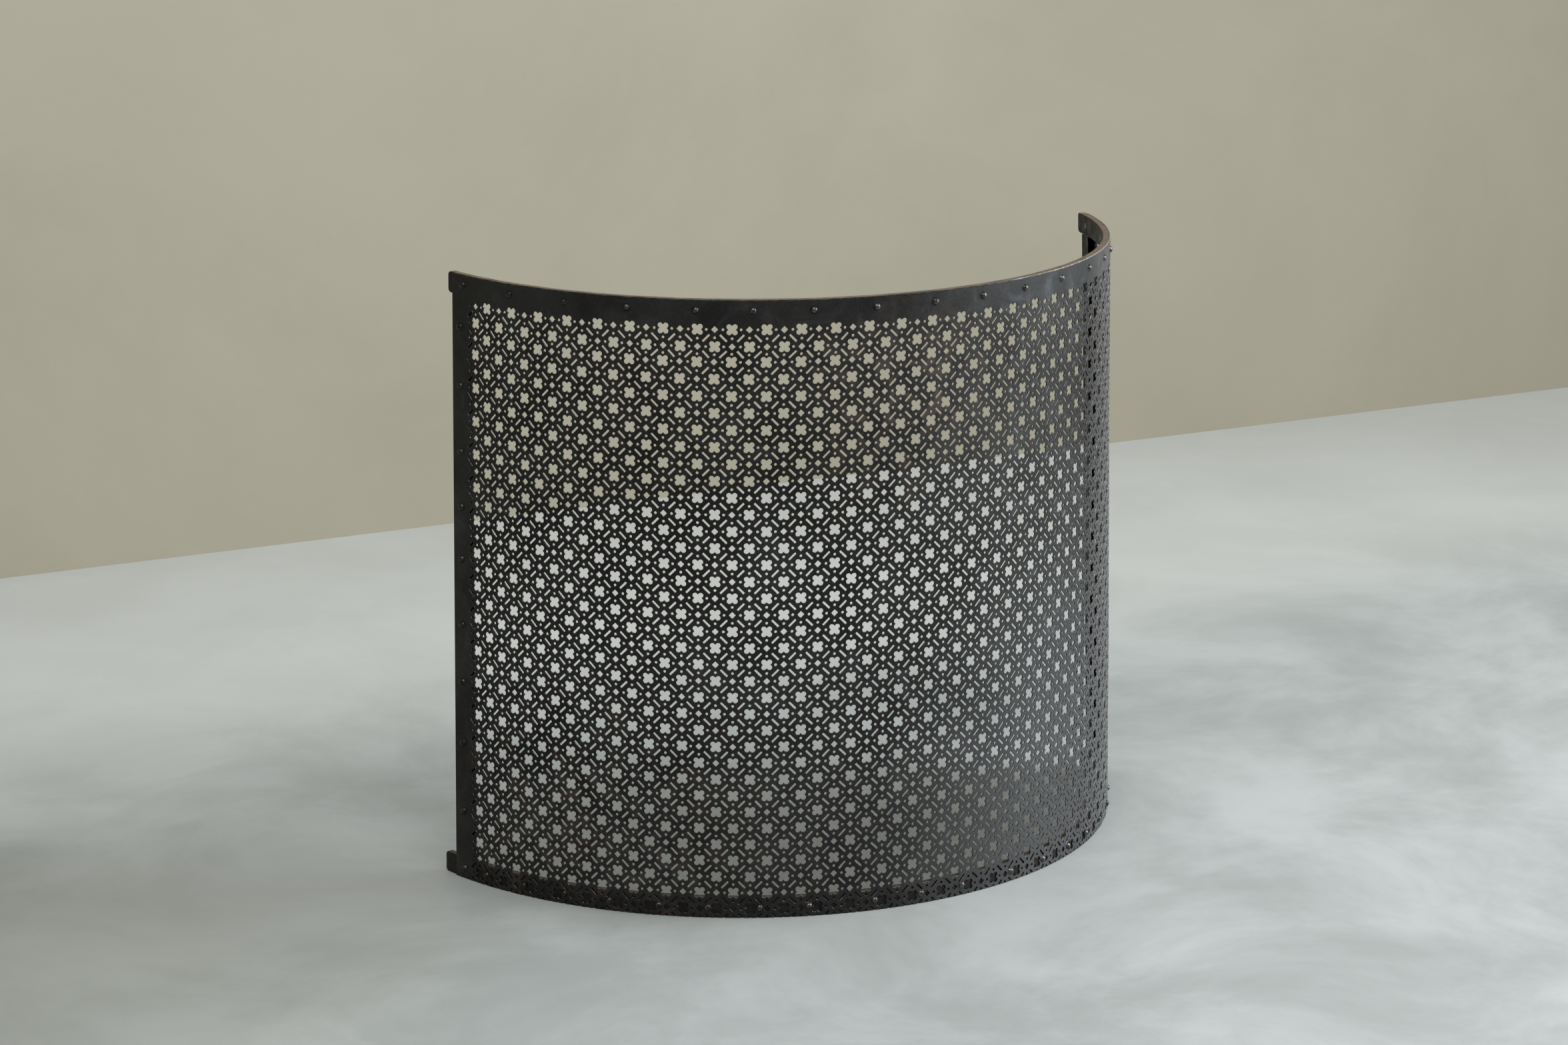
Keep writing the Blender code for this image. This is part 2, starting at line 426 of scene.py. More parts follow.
def make_sheet(face_material, rim_material):
    """The punched sheet, in panels that meet face to face."""
    flat, triangles = flat_sheet()
    count = len(flat)
    edges = rims(triangles, count)
    inwards = np.zeros_like(flat)
    run = flat[edges[:, 1]] - flat[edges[:, 0]]
    left = unit(np.stack((-run[:, 1], run[:, 0]), axis=1))
    np.add.at(inwards, edges[:, 0], left)
    np.add.at(inwards, edges[:, 1], left)
    inwards = unit(inwards) * (np.linalg.norm(inwards, axis=1, keepdims=True) > 0)
    on_upper_edge = flat[:, 1] > SHEET_HEIGHT - WELD
    worn = on_upper_edge & (flat[:, 0] > STEP_ALONG) & (flat[:, 0] < HALF_LENGTH - WELD)
    eased = flat + inwards * np.where(worn, WORN_EDGE, EDGE_ROUNDING)[:, None]
    front = hand_work(np.clip(eased, (-HALF_LENGTH, 0), (HALF_LENGTH, SHEET_HEIGHT)))
    nominal = hand_work(flat)
    stand_off = swell(nominal[:, 0], nominal[:, 1])
    layers = np.concatenate((
        place(front[:, 0], front[:, 1], stand_off),
        place(nominal[:, 0], nominal[:, 1], stand_off - EDGE_ROUNDING),
        place(nominal[:, 0], nominal[:, 1], stand_off - SHEET_THICKNESS),
    ))
    sideways, upwards, outwards = directions(nominal[:, 0], nominal[:, 1], swell)
    whole_rims = np.sort(edges[:, 0] * count + edges[:, 1])
    middles = flat[triangles].mean(axis=1)[:, 0]
    cell_of = np.floor((middles - LATTICE_ALONG) / CELL)
    cells_in_order = np.sort(cell_of)
    cuts = [cells_in_order[len(cells_in_order) * k // PANEL_COUNT] for k in range(1, PANEL_COUNT)]
    panel_of = np.searchsorted(cuts, cell_of, side="right")
    for panel in range(PANEL_COUNT):
        own = triangles[panel_of == panel]
        rim = rims(own, count)
        on_hole = np.isin(rim[:, 0] * count + rim[:, 1], whole_rims)
        a, b = rim[:, 0], rim[:, 1]
        ease = np.stack((a, a + count, b + count, b), axis=1)
        wall = np.stack((a + count, a + 2 * count, b + 2 * count, b + count), axis=1)
        back = own[:, ::-1] + 2 * count
        plain, (at_a, at_b) = wall_normals(flat, rim)
        at_a = np.where(on_hole[:, None], at_a, plain)
        at_b = np.where(on_hole[:, None], at_b, plain)
        wall_a = unit(at_a[:, :1] * sideways[a] + at_a[:, 1:] * upwards[a])
        wall_b = unit(at_b[:, :1] * sideways[b] + at_b[:, 1:] * upwards[b])
        eased = on_hole[:, None].astype(float)
        ease_a = unit(wall_a + eased * outwards[a])
        ease_b = unit(wall_b + eased * outwards[b])
        normals = np.concatenate((
            outwards[own].reshape(-1, 3),
            -outwards[own[:, ::-1]].reshape(-1, 3),
            np.stack((ease_a, ease_a, ease_b, ease_b), axis=1).reshape(-1, 3),
            np.stack((wall_a, wall_a, wall_b, wall_b), axis=1).reshape(-1, 3),
        ))
        used = np.unique(np.concatenate((own.ravel(), back.ravel(), ease.ravel(), wall.ravel())))
        renumber = np.zeros(3 * count, int)
        renumber[used] = np.arange(len(used))
        kinds = np.concatenate((np.zeros(2 * len(own)), np.ones(2 * len(rim))))
        blocks = [renumber[block] for block in (own, back, ease, wall)]
        name = f"perforated_sheet_{panel + 1}"
        mesh = make_mesh(name, layers[used], blocks, (face_material, rim_material), kinds)
        mesh.normals_split_custom_set(normals.astype(np.float32))
        add_piece(name, mesh, "blackened_sheet", "perforated_sheet")


# ---------------------------------------------------------------- rails and stiles


def eased_end(tip, low, high, radius):
    """Columns (along, low, high, lean) from where a bar's end starts to round off out to its tip.

    lean is the angle between the outline's outward direction and straight up or down.
    """
    side = math.copysign(1, tip)
    columns = []
    for step in range(END_FACETS + 1):
        turn = math.pi / 2 * step / END_FACETS
        trim = radius * (1 - math.cos(turn))
        columns.append((tip - side * radius * (1 - math.sin(turn)), low + trim, high - trim, side * turn))
    return columns


def bar(name, tips, low, high, corner, rows, wander, materials, replaced):
    """Flat bar that follows the bend from tip to tip, with eased edges all round.

    wander is how far it strays from true, from 0 to 1. materials are those of its faces and of its edges.
    """
    def columns(inset):
        left = eased_end(tips[0] + inset, low + inset, high - inset, corner - inset)[::-1]
        right = eased_end(tips[1] - inset, low + inset, high - inset, corner - inset)
        start, stop = left[-1][0], right[0][0]
        count = max(2, round((stop - start) / BAR_STEP))
        alongs = [start + (stop - start) * k / count for k in range(1, count)]
        between = [(along, low + inset, high - inset, 0) for along in alongs]
        return left + between + right

    def grid(inset):
        rows_of = []
        for along, bottom, top, lean in columns(inset):
            rows_of.append([(along, bottom + (top - bottom) * r / rows, lean) for r in range(rows + 1)])
        return np.array(rows_of)

    def border(cells):
        """Indices of the grid's border, anticlockwise from its lower left."""
        last, top = cells - 1, rows
        ring = [(c, 0) for c in range(cells)] + [(last, r) for r in range(1, rows + 1)]
        ring += [(c, top) for c in range(cells - 2, -1, -1)] + [(0, r) for r in range(rows - 1, 0, -1)]
        return np.array(ring)

    face = grid(BAR_EASE)
    cells = len(face)
    ring = border(cells)
    count = len(ring)
    lean = face[ring[:, 0], ring[:, 1], 2]
    rising = np.where(ring[:, 1] == 0, -1.0, np.where(ring[:, 1] == rows, 1.0, 0.0))
    facing = unit(np.stack((np.sin(lean), rising * np.cos(lean)), axis=1))

    def surface(points, out):
        along, up = points[..., 0], points[..., 1]
        return place(along, up - wander * EDGE_WANDER * edge_wander(along, up, low, high), out)

    def frames(points):
        return directions(points[..., 0], points[..., 1])

    points, normals, blocks = [], [], []
    index = np.arange(cells * (rows + 1)).reshape(cells, rows + 1)
    quads = np.stack((index[:-1, :-1], index[1:, :-1], index[1:, 1:], index[:-1, 1:]), axis=-1)
    quads = quads.reshape(-1, 4)
    inner_out = BAR_INNER + wander * INNER_WANDER * (1 + inner_wander(face[..., 0], face[..., 1])) / 2
    size = cells * (rows + 1)
    for out, sign in ((np.full(face.shape[:2], BAR_OUTER), 1), (inner_out, -1)):
        _, _, outwards = frames(face)
        points.append(surface(face, out).reshape(-1, 3))
        normals.append(sign * outwards.reshape(-1, 3))
        blocks.append(quads if sign > 0 else quads[:, ::-1] + size)
    first = 2 * size
    front_ring = ring[:, 0] * (rows + 1) + ring[:, 1]
    rings = [front_ring]
    turns = [math.pi / 2 * step / EASE_FACETS for step in range(1, EASE_FACETS + 1)]
    for turn, side in [(turn, 1) for turn in turns] + [(turn, -1) for turn in turns[::-1]]:
        at = grid(BAR_EASE * (1 - math.sin(turn)))[ring[:, 0], ring[:, 1]]
        depth = BAR_EASE * (1 - math.cos(turn))
        base = BAR_OUTER if side > 0 else inner_out[ring[:, 0], ring[:, 1]]
        sideways, upwards, outwards = frames(at)
        normal = math.sin(turn) * (facing[:, :1] * sideways + facing[:, 1:] * upwards)
        points.append(surface(at, base - side * depth))
        normals.append(unit(normal + side * math.cos(turn) * outwards))
        rings.append(first + np.arange(count))
        first += count
    rings.append(size + front_ring)
    for upper, lower in zip(rings, rings[1:]):
        ahead_upper, ahead_lower = np.roll(upper, -1), np.roll(lower, -1)
        blocks.append(np.stack((upper, lower, ahead_lower, ahead_upper), axis=1))
    edge_block = 2 + EASE_FACETS
    kinds = [abs(order - edge_block) < 2 for order in range(len(blocks))]
    face_materials = np.repeat(kinds, [len(block) for block in blocks])
    mesh = make_mesh(name, np.concatenate(points), blocks, materials, face_materials)
    mesh.normals_split_custom_set_from_vertices(np.concatenate(normals).astype(np.float32))
    add_piece(name, mesh, "bar_steel", replaced)


def edge_wander(along, up, low, high):
    """How far a hand-worked bar's edges draw in towards its middle line, from -1 to 1."""
    middle = (low + high) / 2
    share = (up - middle) / ((high - low) / 2)
    wave = 0.5 + 0.25 * np.sin(along * 47 + 1.3) + 0.25 * np.sin(along * 83 + 0.4)
    return share * wave


def inner_wander(along, up):
    """Shallow unevenness of a bar's inner face, from -1 to 1."""
    return 0.6 * np.sin(along * 61 + up * 40) + 0.4 * np.sin(along * 129 + 2.1)


def make_bars(face, pale_edge):
    """Both rails and both stiles. Only the stiles' edges are light grey."""
    tips_top = (-HALF_LENGTH - TOP_OVERHANG_LEFT, HALF_LENGTH + TOP_OVERHANG_RIGHT)
    tips_bottom = (-HALF_LENGTH - BOTTOM_OVERHANG, HALF_LENGTH + BOTTOM_OVERHANG)
    rail = (BAR_CORNER, RAIL_ROWS, 1, (face, face))
    bar("top_rail_bar", tips_top, SHEET_HEIGHT - BAR_HEIGHT, SHEET_HEIGHT, *rail, "top_rail")
    bar("bottom_rail_bar", tips_bottom, 0, BAR_HEIGHT, *rail, "bottom_rail")
    edge = HALF_LENGTH - STILE_INSET
    low, high = BAR_HEIGHT + GAP, SHEET_HEIGHT - BAR_HEIGHT - GAP
    stile = (STILE_CORNER, STILE_ROWS, 0, (face, pale_edge))
    bar("left_stile_bar", (-edge, BAR_HEIGHT - edge), low, high, *stile, "left_stile")
    bar("right_stile_bar", (edge - BAR_HEIGHT, edge), low, high, *stile, "right_stile")


# ---------------------------------------------------------------- rivets


def rivet_places():
    """Name, distance along and height of every rivet."""
    top = SHEET_HEIGHT - BAR_HEIGHT / 2
    end = HALF_LENGTH - STILE_INSET - BAR_HEIGHT / 2
    places = [(f"rivet_top_{n:02d}", a * MM, top) for n, a in enumerate(TOP_RIVETS, 1)]
    places += [(f"rivet_bottom_{n:02d}", a * MM, BAR_HEIGHT / 2) for n, a in enumerate(BOTTOM_RIVETS, 1)]
    places += [(f"rivet_left_{n:02d}", -end, up * MM) for n, up in enumerate(LEFT_RIVETS, 1)]
    places += [(f"rivet_right_{n:02d}", end, up * MM) for n, up in enumerate(RIGHT_RIVETS, 1)]
    return places


def rivet_outline():
    """Half outline of a rivet from its crown down to its tail. Height 0 is the sheet's outer face."""
    dome = (HEAD_RADIUS**2 + HEAD_HEIGHT**2) / (2 * HEAD_HEIGHT)
    widest = math.asin(HEAD_RADIUS / dome)
    outline = []
    for step in range(1, HEAD_RINGS + 1):
        angle = widest * step / HEAD_RINGS
        outline.append((dome * math.sin(angle), HEAD_HEIGHT - dome * (1 - math.cos(angle)) + CROWN_LIFT))
    outline.append((HEAD_RADIUS * 0.985, -HEAD_SEAT))
    outline.append((SHANK_RADIUS, -HEAD_SEAT))
    outline.append((SHANK_RADIUS, BAR_INNER + TAIL_DEPTH))
    outline.append((TAIL_RADIUS, BAR_INNER + TAIL_EDGE))
    for share in TAIL_SHARES:
        outline.append((TAIL_RADIUS * share, BAR_INNER - TAIL_CROWN * math.sqrt(1 - share * share)))
    return outline


def make_rivets(material):
    """Each rivet with the small unevenness that hand setting leaves on its head."""
    outline = rivet_outline()
    angles = np.linspace(0, 2 * math.pi, RIVET_SIDES, endpoint=False)
    for number, (name, along, up) in enumerate(rivet_places()):
        shift = Vector((number * 1.7, number * 0.9, 0))
        points = [(0, 0, HEAD_HEIGHT + CROWN_LIFT)]
        for radius, height in outline:
            points += [(radius * math.cos(a), radius * math.sin(a), height) for a in angles]
        points.append((0, 0, BAR_INNER - TAIL_CROWN))
        shaped = []
        for x, y, z in points:
            if z > 0:
                uneven = noise.noise(Vector((x, y, z)) * 260 + shift)
                push = 1 - HEAD_UNEVEN * (1 + uneven)
                z = z * (1 - CROWN_UNEVEN * (1 + noise.noise(Vector((x, y, 0)) * 180 - shift)) / 2)
                x, y = x * push, y * push
            shaped.append((x, y, z))
        rings, last = len(outline), len(points) - 1
        tris, quads = [], []
        for k in range(RIVET_SIDES):
            n = (k + 1) % RIVET_SIDES
            tris.append((0, 1 + k, 1 + n))
            base = 1 + (rings - 1) * RIVET_SIDES
            tris.append((last, base + n, base + k))
            for r in range(rings - 1):
                upper, lower = 1 + r * RIVET_SIDES, 1 + (r + 1) * RIVET_SIDES
                quads.append((upper + k, lower + k, lower + n, upper + n))
        _, _, outwards = directions(np.array([along]), np.array([up]))
        turn = Vector(outwards[0]).to_track_quat("Z", "Y").to_matrix().to_4x4()
        spin = Matrix.Rotation(number * RIVET_SPIN, 4, "Z")
        stance = Matrix.Translation(Vector(place(along, up, 0))) @ turn @ spin
        placed = np.array([tuple(stance @ Vector(point)) for point in shaped])
        mesh = make_mesh(f"{name}_dome", placed, [np.array(tris), np.array(quads)], (material,))
        mesh.set_sharp_from_angle(angle=math.radians(SHARP_ANGLE))
        add_piece(f"{name}_dome", mesh, "rivet_steel", name)


# ---------------------------------------------------------------- finishes


class Finish:
    """A node material while it is being put together."""

    def __init__(self, name):
        self.material = bpy.data.materials.new(name)
        self.material.use_nodes = True
        self.tree = self.material.node_tree
        self.shader = self.tree.nodes["Principled BSDF"]
        self.here = self.tree.nodes.new("ShaderNodeTexCoord").outputs["Object"]

    def put(self, value, socket):
        """Link a socket, or set a plain value."""
        if isinstance(value, bpy.types.NodeSocket):
            self.tree.links.new(value, socket)
        elif isinstance(value, tuple) and socket.type == "RGBA":
            socket.default_value = (*value, 1)
        else:
            socket.default_value = value

    def maths(self, operation, a, b, c=0.0):
        node = self.tree.nodes.new("ShaderNodeMath")
        node.operation = operation
        for socket, value in zip(node.inputs, (a, b, c)):
            self.put(value, socket)
        return node.outputs[0]

    def scaled(self, stretch):
        """The object's coordinates, stretched along each axis."""
        node = self.tree.nodes.new("ShaderNodeVectorMath")
        node.operation = "MULTIPLY"
        self.put(self.here, node.inputs[0])
        node.inputs[1].default_value = stretch
        return node.outputs[0]

    def noise(self, scale, detail, roughness, distortion=0.0, stretch=None):
        node = self.tree.nodes.new("ShaderNodeTexNoise")
        self.put(self.scaled(stretch) if stretch else self.here, node.inputs["Vector"])
        node.inputs["Scale"].default_value = scale
        node.inputs["Detail"].default_value = detail
        node.inputs["Roughness"].default_value = roughness
        node.inputs["Distortion"].default_value = distortion
        return node.outputs["Fac"]

    def spread(self, value, low, high, start=0.0, end=1.0):
        """value mapped smoothly from low..high to start..end and held there."""
        node = self.tree.nodes.new("ShaderNodeMapRange")
        node.interpolation_type = "SMOOTHSTEP"
        self.put(value, node.inputs["Value"])
        node.inputs["From Min"].default_value = low
        node.inputs["From Max"].default_value = high
        node.inputs["To Min"].default_value = start
        node.inputs["To Max"].default_value = end
        return node.outputs["Result"]

    def mix(self, share, a, b, blend="MIX"):
        node = self.tree.nodes.new("ShaderNodeMix")
        node.data_type = "RGBA"
        node.blend_type = blend
        self.put(share, node.inputs["Factor"])
        self.put(a, node.inputs[6])
        self.put(b, node.inputs[7])
        return node.outputs[2]

    def grey(self, value):
        """A value as a colour."""
        node = self.tree.nodes.new("ShaderNodeCombineColor")
        for socket in node.inputs:
            self.put(value, socket)
        return node.outputs[0]

    def near(self, centre, inner, outer):
        """1 within inner of a point, falling to 0 at outer."""
        node = self.tree.nodes.new("ShaderNodeVectorMath")
        node.operation = "DISTANCE"
        self.put(self.here, node.inputs[0])
        node.inputs[1].default_value = tuple(centre)
        return self.spread(node.outputs["Value"], inner, outer, 1.0, 0.0)

    def part_of_place(self, axis):
        """One of the coordinates, X, Y or Z."""
        node = self.tree.nodes.new("ShaderNodeSeparateXYZ")
        self.put(self.here, node.inputs[0])
        return node.outputs[axis]

    def upward(self):
        """How far the surface faces up, from -1 to 1."""
        geometry_node = self.tree.nodes.new("ShaderNodeNewGeometry")
        node = self.tree.nodes.new("ShaderNodeSeparateXYZ")
        self.put(geometry_node.outputs["Normal"], node.inputs[0])
        return node.outputs["Z"]

    def bump(self, height, strength, distance, under=None):
        node = self.tree.nodes.new("ShaderNodeBump")
        node.inputs["Strength"].default_value = strength
        node.inputs["Distance"].default_value = distance
        self.put(height, node.inputs["Height"])
        if under:
            self.put(under, node.inputs["Normal"])
        return node.outputs["Normal"]

    def done(self, colour, roughness, metallic, normal=None, specular=0.5):
        self.put(colour, self.shader.inputs["Base Color"])
        self.put(roughness, self.shader.inputs["Roughness"])
        self.put(metallic, self.shader.inputs["Metallic"])
        self.shader.inputs["Specular IOR Level"].default_value = specular
        if normal:
            self.put(normal, self.shader.inputs["Normal"])
        return self.material


def rust_share(finish):
    """Where rust has come through: high in the middle, at the lower left and a little all over."""
    middle = finish.near(place(*RUSTY_MIDDLE, 0), 0.02, 0.19)
    middle_left = finish.near(place(*RUSTY_MIDDLE_LEFT, 0), 0.01, 0.07)
    corner = finish.near(place(*RUSTY_CORNER, 0), 0.06, 0.30)
    region = finish.maths("MAXIMUM", middle, finish.maths("MULTIPLY", middle_left, 0.8))
    region = finish.maths("MAXIMUM", region, finish.maths("MULTIPLY", corner, 0.8))
    region = finish.maths("MAXIMUM", region, 0.12)
    patches = finish.spread(finish.noise(34, 8, 0.68, 0.6), 0.44, 0.66)
    return finish.maths("MULTIPLY", region, patches)


def blackened_steel():
    """Oiled black sheet: soft clouds of wear, fine speckle, rust where it has worn through, and painted
    sheen on the right.
    """
    finish = Finish("blackened_steel")
    clouds = finish.noise(9, 6, 0.6, 0.4)
    colour = finish.mix(finish.spread(clouds, 0.3, 0.7), (0.013, 0.013, 0.012), (0.030, 0.030, 0.029))
    speckle = finish.spread(finish.noise(620, 3, 0.6), 0.3, 0.7, 0.75, 1.3)
    colour = finish.mix(1.0, colour, finish.grey(speckle), "MULTIPLY")
    # The wear patches are real wear; their share grows towards the right, where it is painted sheen: a
    # grey-blue reflection of the window light.
    worn = finish.spread(finish.noise(23, 9, 0.7, 1.0), 0.50, 0.72)
    sheen_flank = finish.spread(finish.part_of_place("X"), -0.05, 0.30)
    worn = finish.maths("MULTIPLY", worn, finish.maths("MULTIPLY_ADD", sheen_flank, 0.35, 0.25))
    colour = finish.mix(worn, colour, (0.085, 0.088, 0.096))
    # Painted sheen: the far right of the face is turned light grey in fine patches, standing in for the
    # window's grazing reflection.
    far = finish.maths("MULTIPLY", finish.spread(finish.part_of_place("X"), 0.26, 0.35), 0.45)
    rubbed_and_sheen = finish.mix(finish.noise(260, 5, 0.7), (0.10, 0.098, 0.094), (0.36, 0.35, 0.335))
    colour = finish.mix(far, colour, rubbed_and_sheen)
    # Painted sheen: lighter grey low on the right side, where the window light glances off the face.
    low_flank_sheen = finish.near(place(*SHEEN_FLANK, 0), 0.10, 0.46)
    colour = finish.mix(finish.maths("MULTIPLY", low_flank_sheen, 0.5), colour, (0.145, 0.147, 0.152))
    rust = rust_share(finish)
    rust_colour = finish.mix(finish.noise(90, 5, 0.6), (0.026, 0.018, 0.014), (0.080, 0.048, 0.032))
    colour = finish.mix(finish.maths("MULTIPLY", rust, 0.6), colour, rust_colour)
    roughness = finish.spread(finish.noise(13, 8, 0.66, 0.5), 0.32, 0.68, 0.38, 0.60)
    roughness = finish.maths("ADD", roughness, finish.maths("MULTIPLY", rust, 0.16))
    metallic = finish.spread(rust, 0.0, 1.0, 0.75, 0.3)
    grain = finish.bump(finish.noise(900, 4, 0.6), 0.18, 0.00012)
    normal = finish.bump(finish.noise(60, 5, 0.55), 0.25, 0.0004, grain)
    return finish.done(colour, roughness, metallic, normal)


def punched_rim():
    """The cut edges inside the holes: smoother and brighter than the face, with rust in patches, and
    painted glints on the right.
    """
    finish = Finish("punched_rim")
    clouds = finish.spread(finish.noise(140, 6, 0.64), 0.42, 0.66)
    colour = finish.mix(clouds, (0.018, 0.017, 0.016), (0.13, 0.13, 0.13))
    rust = rust_share(finish)
    colour = finish.mix(finish.maths("MULTIPLY", rust, 0.6), colour, (0.10, 0.058, 0.038))
    # Painted sheen: the rims on the far right are turned lighter grey, standing in for light glinting off
    # them.
    far_right_sheen = finish.spread(finish.part_of_place("X"), 0.28, 0.44)
    colour = finish.mix(finish.maths("MULTIPLY", far_right_sheen, 0.4), colour, (0.27, 0.275, 0.28))
    # Right of the step, the bright specks on the rims are painted glints where the window light catches
    # them; the bright upper edge there is real wear.
    right = finish.spread(finish.part_of_place("X"), STEP_ALONG, STEP_ALONG + 0.12)
    painted_glints = finish.maths("MULTIPLY", finish.spread(finish.noise(95, 3, 0.5), 0.60, 0.70), right)
    top = finish.spread(finish.part_of_place("Z"), SHEET_HEIGHT - 2 * WORN_EDGE, SHEET_HEIGHT - WORN_EDGE)
    rubbed_and_sheen = finish.maths("MULTIPLY", top, finish.spread(finish.noise(30, 6, 0.6), 0.3, 0.6, 0.4, 1.0))
    colour = finish.mix(painted_glints, colour, (0.17, 0.17, 0.175))
    colour = finish.mix(finish.maths("MULTIPLY", rubbed_and_sheen, right), colour, (0.62, 0.62, 0.63))
    roughness = finish.spread(finish.noise(190, 5, 0.6), 0.3, 0.7, 0.18, 0.42)
    normal = finish.bump(finish.noise(700, 3, 0.6), 0.2, 0.00015)
    return finish.done(colour, roughness, 0.85, normal)


def bar_steel():
    """Flat bar: brown-black mill scale, and brown rust rubbed thin on what faces up."""
    finish = Finish("bar_steel")
    scale_clouds = finish.spread(finish.noise(26, 8, 0.64, 0.8), 0.35, 0.65)
    colour = finish.mix(scale_clouds, (0.006, 0.0054, 0.005), (0.018, 0.0145, 0.012))
    rust = finish.spread(finish.noise(70, 9, 0.7, 0.5), 0.52, 0.70)
    colour = finish.mix(finish.maths("MULTIPLY", rust, 0.5), colour, (0.050, 0.031, 0.022))
    top = finish.spread(finish.upward(), 0.45, 0.85)
    tan = finish.mix(finish.noise(150, 7, 0.65, 0.3), (0.10, 0.073, 0.055), (0.26, 0.20, 0.16))
    foot = finish.spread(finish.part_of_place("Z"), 0.1, 0.3, 0.65, 0.0)
    tan = finish.mix(foot, tan, (0.035, 0.026, 0.021))
    worn_top = finish.spread(finish.noise(48, 7, 0.6), 0.3, 0.6, 0.5, 1.0)
    colour = finish.mix(finish.maths("MULTIPLY", top, worn_top), colour, tan)
    roughness = finish.spread(finish.noise(80, 6, 0.6), 0.3, 0.7, 0.42, 0.68)
    grain = finish.bump(finish.noise(520, 5, 0.62), 0.35, 0.0002)
    normal = finish.bump(finish.noise(95, 6, 0.6), 0.4, 0.0006, grain)
    return finish.done(colour, roughness, 0.45, normal, specular=0.3)


def pale_edge_steel():
    """A stile's narrow edges: light grey with filing marks, darker towards the floor."""
    finish = Finish("pale_edge_steel")
    clouds = finish.spread(finish.noise(70, 7, 0.64, 0.4), 0.35, 0.65)
    colour = finish.mix(clouds, (0.22, 0.217, 0.207), (0.40, 0.394, 0.377))
    foot = finish.spread(finish.part_of_place("Z"), 0.1, 0.35, 0.85, 0.0)
    colour = finish.mix(foot, colour, (0.03, 0.026, 0.023))
    roughness = finish.spread(finish.noise(160, 5, 0.6), 0.3, 0.7, 0.40, 0.62)
    filed = finish.noise(700, 4, 0.6, stretch=(1, 1, 0.06))
    normal = finish.bump(filed, 0.3, 0.00015)
    return finish.done(colour, roughness, 0.5, normal)


def rivet_steel():
    """Hammered rivet heads: black in the hollows, burnished on the crowns, and darkened on the left by
    painted shade.
    """
    finish = Finish("rivet_steel")
    clouds = finish.noise(160, 6, 0.6, 0.4)
    colour = finish.mix(finish.spread(clouds, 0.35, 0.65), (0.028, 0.027, 0.026), (0.125, 0.123, 0.121))
    # Painted shade: rivets towards the left are darkened, standing in for the dim room they face.
    painted_left_shade = finish.spread(finish.part_of_place("X"), -0.42, -0.05, 0.4, 1.0)
    colour = finish.mix(1.0, colour, finish.grey(painted_left_shade), "MULTIPLY")
    rust = finish.maths("MULTIPLY", rust_share(finish), 0.6)
    colour = finish.mix(rust, colour, (0.10, 0.060, 0.042))
    roughness = finish.spread(finish.noise(240, 4, 0.6), 0.3, 0.7, 0.17, 0.30)
    normal = finish.bump(finish.noise(420, 4, 0.55), 0.3, 0.0003)
    return finish.done(colour, roughness, 0.9, normal)


# ---------------------------------------------------------------- floor, backdrop, light and camera


def pale(finish, low_colour, high_colour, scale):
    """Plain pale colour with faint clouding."""
    clouds = finish.spread(finish.noise(scale, 10, 0.66, 0.4), 0.32, 0.68)
    return finish.mix(clouds, low_colour, high_colour)


def floor_grey():
    """Pale grey floor with painted light that lightens it towards the wall, and painted shadow that darkens
    it inside the screen and on its left.
    """
    finish = Finish("floor_grey")
    colour = pale(finish, (0.325, 0.355, 0.355), (0.455, 0.492, 0.50), 2.6)
    # Painted light: lighter towards the wall, standing in for a bright pool of window light there.
    back = finish.spread(finish.part_of_place("Y"), 0.45, 1.2, 0.0, 0.66)
    colour = finish.mix(back, colour, (0.66, 0.69, 0.68))
    # Painted shadow: darker on the screen's left and inside it, where its shadow falls.
    left = finish.maths("MULTIPLY", finish.near((-1.0, 0.1, 0), 0.15, 0.75), 0.6)
    within = finish.maths("MULTIPLY", finish.near((-0.05, 0.08, 0), 0.15, 0.6), 0.38)
    colour = finish.mix(finish.maths("MAXIMUM", left, within), colour, (0.24, 0.25, 0.225))
    return finish.done(colour, 0.55, 0.0, specular=0.3)


def flat_stage(name, corners, material):
    """One flat four-cornered piece of the room."""
    mesh = bpy.data.meshes.new(name)
    mesh.from_pydata(corners, [], [(0, 1, 2, 3)])
    mesh.materials.append(material)
    obj = bpy.data.objects.new(name, mesh)
    bpy.context.scene.collection.objects.link(obj)


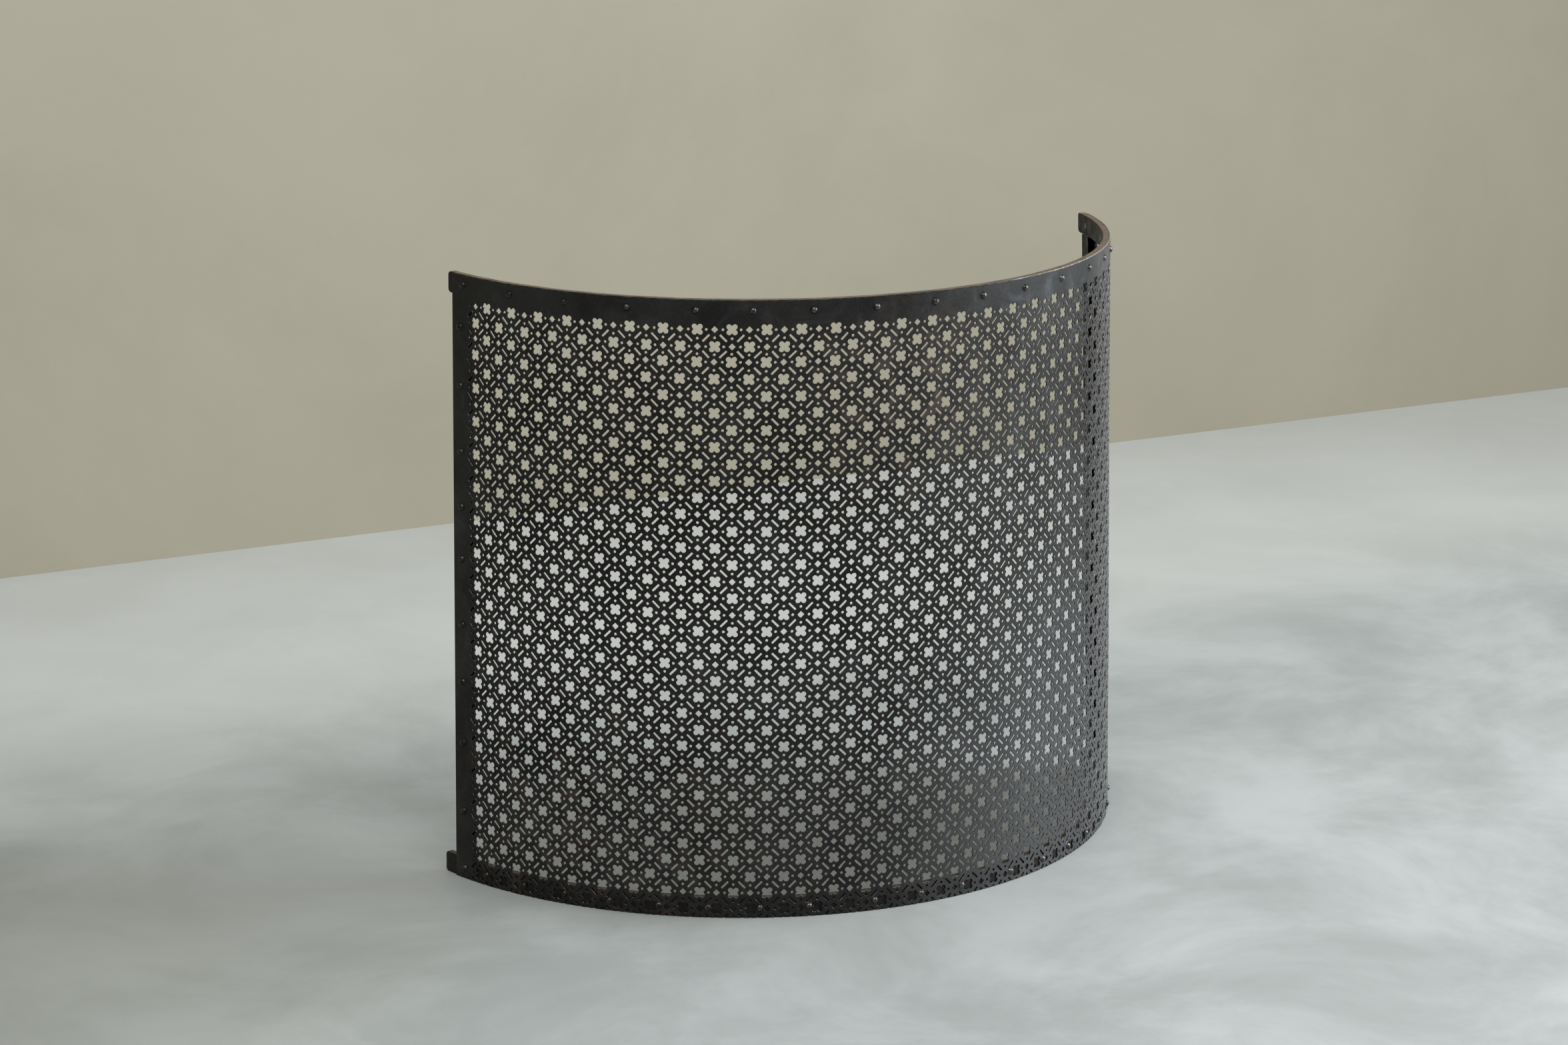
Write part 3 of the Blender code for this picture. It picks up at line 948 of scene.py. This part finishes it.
def make_stage():
    """A pale floor that runs to a pale wall, which shows only its front: views from behind see past it."""
    finish = Finish("wall_stone")
    colour = pale(finish, (0.345, 0.325, 0.257), (0.388, 0.365, 0.292), 0.9)
    wall = finish.done(colour, 0.9, 0.0, specular=0.3)
    tree = finish.tree
    facing = tree.nodes.new("ShaderNodeNewGeometry").outputs["Backfacing"]
    clear = tree.nodes.new("ShaderNodeBsdfTransparent")
    choose = tree.nodes.new("ShaderNodeMixShader")
    tree.links.new(facing, choose.inputs[0])
    tree.links.new(finish.shader.outputs[0], choose.inputs[1])
    tree.links.new(clear.outputs[0], choose.inputs[2])
    tree.links.new(choose.outputs[0], tree.nodes["Material Output"].inputs["Surface"])
    left, right = -STAGE_REACH, STAGE_REACH
    floor_corners = [(left, left, 0), (right, left, 0), (right, right, 0), (left, right, 0)]
    wall_low = [(left, WALL_BACK, 0), (right, WALL_BACK, 0)]
    wall_high = [(right, WALL_BACK, WALL_HEIGHT), (left, WALL_BACK, WALL_HEIGHT)]
    flat_stage("floor", floor_corners, floor_grey())
    flat_stage("wall", wall_low + wall_high, wall)


def area_light(name, place_at, aim, width, depth, power, colour, spread=180):
    """Rectangular lamp at a place, turned towards its aim."""
    data = bpy.data.lights.new(name, "AREA")
    data.shape = "RECTANGLE"
    data.size = width
    data.size_y = depth
    data.energy = power
    data.color = colour
    data.spread = math.radians(spread)
    light = bpy.data.objects.new(name, data)
    light.location = place_at
    light.rotation_euler = (Vector(aim) - Vector(place_at)).to_track_quat("-Z", "Y").to_euler()
    bpy.context.scene.collection.objects.link(light)


def make_light():
    """Soft cool daylight from a wide low window and a small high one on the right, and a warm fill."""
    world = bpy.data.worlds.new("studio")
    world.use_nodes = True
    background = world.node_tree.nodes["Background"]
    background.inputs["Color"].default_value = (1.0, 0.985, 0.95, 1)
    background.inputs["Strength"].default_value = 0.48
    bpy.context.scene.world = world
    area_light("wide_window", (3.6, -2.4, 1.5), (0, -2.1, 1.4), 5.2, 2.5, 100, (0.86, 0.93, 1.0), 115)
    area_light("high_window", (2.6, -1.7, 2.6), (0, 0, 0.4), 2.2, 1.4, 85, (1.0, 1.0, 1.0))
    area_light("overhead", (-1.0, -1.7, 3.3), (-0.4, 0.8, 0.3), 2.6, 2.0, 62, (1.0, 0.985, 0.95))


def make_camera():
    data = bpy.data.cameras.new("camera")
    data.lens = CAMERA_LENS
    data.sensor_width = 36
    camera = bpy.data.objects.new("camera", data)
    camera.location = CAMERA_PLACE
    camera.rotation_euler = (math.radians(90 + CAMERA_TILT), 0, math.radians(-CAMERA_HEADING))
    bpy.context.scene.collection.objects.link(camera)
    bpy.context.scene.camera = camera


# ---------------------------------------------------------------- the whole scene


def main():
    bpy.context.scene.view_settings.view_transform = "Standard"
    make_camera()
    make_sheet(blackened_steel(), punched_rim())
    make_bars(bar_steel(), pale_edge_steel())
    make_rivets(rivet_steel())
    make_stage()
    make_light()


main()
